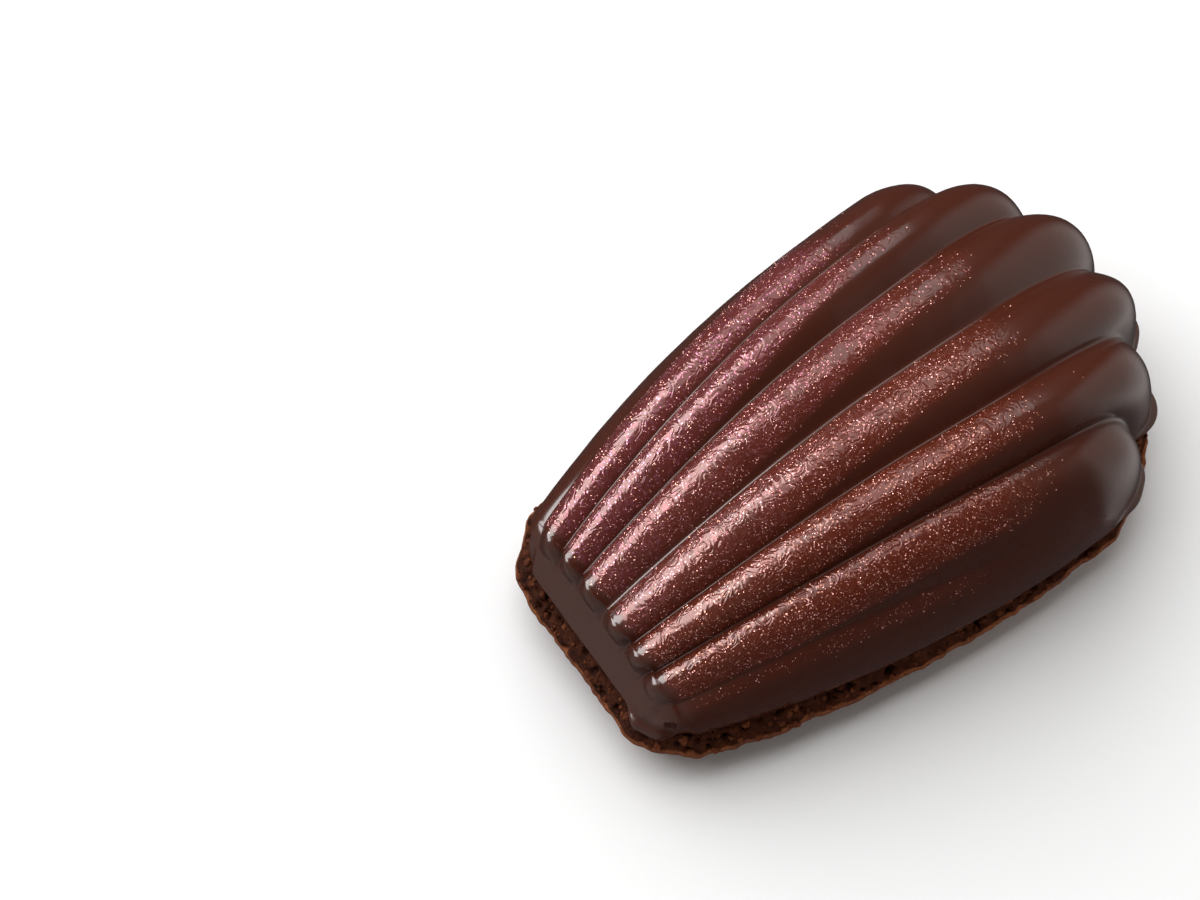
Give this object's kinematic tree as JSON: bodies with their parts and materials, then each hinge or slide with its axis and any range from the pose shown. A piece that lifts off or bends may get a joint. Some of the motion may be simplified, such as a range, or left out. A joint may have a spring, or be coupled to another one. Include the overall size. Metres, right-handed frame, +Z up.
{
  "type": "madeleine cake",
  "caption": "Small shell-shaped sponge cake with a domed hump underneath and a ribbed, glossy dark chocolate shell over its moulded side.",
  "frame": {"origin": "bottom centre of the bounding box, on the flat spot's level", "axes": "+X from the narrow end to the wide scalloped end, +Z up through the ribs, the cake mirrored about the XZ plane"},
  "size_m": [0.0772, 0.05, 0.0317],
  "materials": {
    "sponge": "matte chocolate sponge crumb and baked crust",
    "chocolate": "glossy dark chocolate dusted with copper and pink lustre"
  },
  "bodies": {
    "root": {"sponge_cake": "sponge", "chocolate_shell": "chocolate"}
  },
  "joints": []
}
